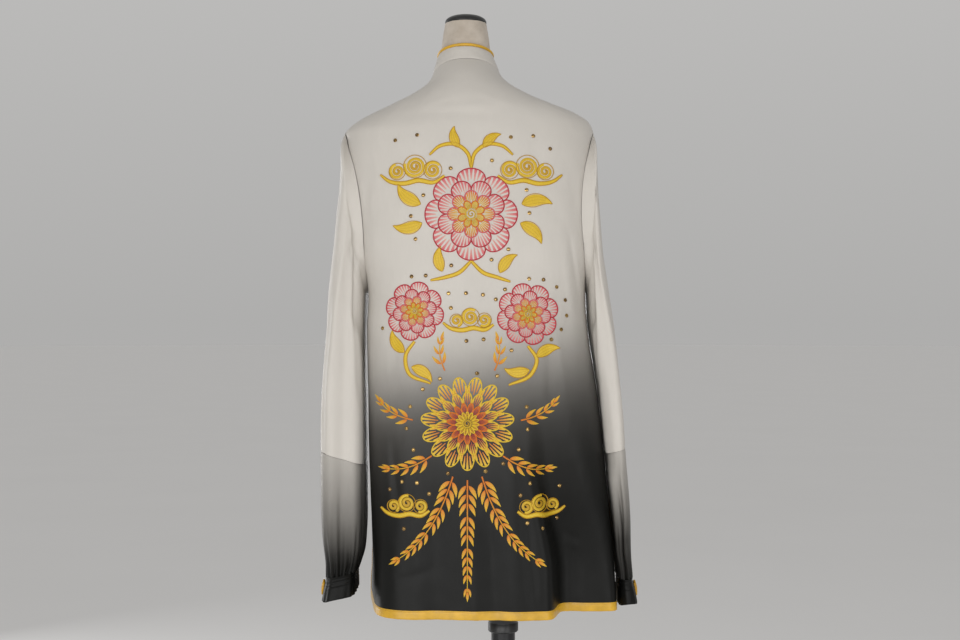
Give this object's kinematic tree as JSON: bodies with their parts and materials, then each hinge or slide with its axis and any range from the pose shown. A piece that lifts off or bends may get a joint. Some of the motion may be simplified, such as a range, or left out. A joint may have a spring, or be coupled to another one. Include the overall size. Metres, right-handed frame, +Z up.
{
  "type": "tai chi uniform jacket on a dress form",
  "caption": "Long-sleeved satin tai chi jacket, white fading to charcoal with gold bindings and knotted closures, worn by a limbless dress form on a round stand.",
  "frame": {"origin": "centre of the stand base's underside, on the floor", "axes": "+Z up, the front of the jacket faces -Y, its back faces +Y, the wearer's left is +X"},
  "size_m": [0.4514, 0.36, 1.4916],
  "materials": {
    "satin_white": "satin",
    "satin_charcoal": "satin",
    "satin_gold": "satin",
    "form_cloth": "matte",
    "black_plastic": "matte",
    "black_steel": "satin"
  },
  "bodies": {
    "root": {"jacket_back": "satin_white", "jacket_front_left": "satin_white", "jacket_front_right": "satin_white", "sleeve_left": "satin_white", "sleeve_right": "satin_white", "sleeve_end_left": "satin_white", "sleeve_end_right": "satin_white", "cuff_left": "satin_charcoal", "cuff_right": "satin_charcoal", "cuff_knot_left": "satin_gold", "cuff_knot_right": "satin_gold", "collar_stand": "satin_white", "collar_piping": "satin_gold", "binding_back": "satin_gold", "binding_front_left": "satin_gold", "binding_front_right": "satin_gold", "frog_button_1": "satin_gold", "frog_button_2": "satin_gold", "frog_button_3": "satin_gold", "frog_button_4": "satin_gold", "frog_button_5": "satin_gold", "frog_button_6": "satin_gold", "frog_loop_1": "satin_gold", "frog_loop_2": "satin_gold", "frog_loop_3": "satin_gold", "frog_loop_4": "satin_gold", "frog_loop_5": "satin_gold", "frog_loop_6": "satin_gold", "form_torso": "form_cloth", "form_neck_cap": "black_plastic", "stand_pole": "black_steel", "stand_collar": "black_plastic", "stand_base": "black_steel"}
  },
  "joints": []
}
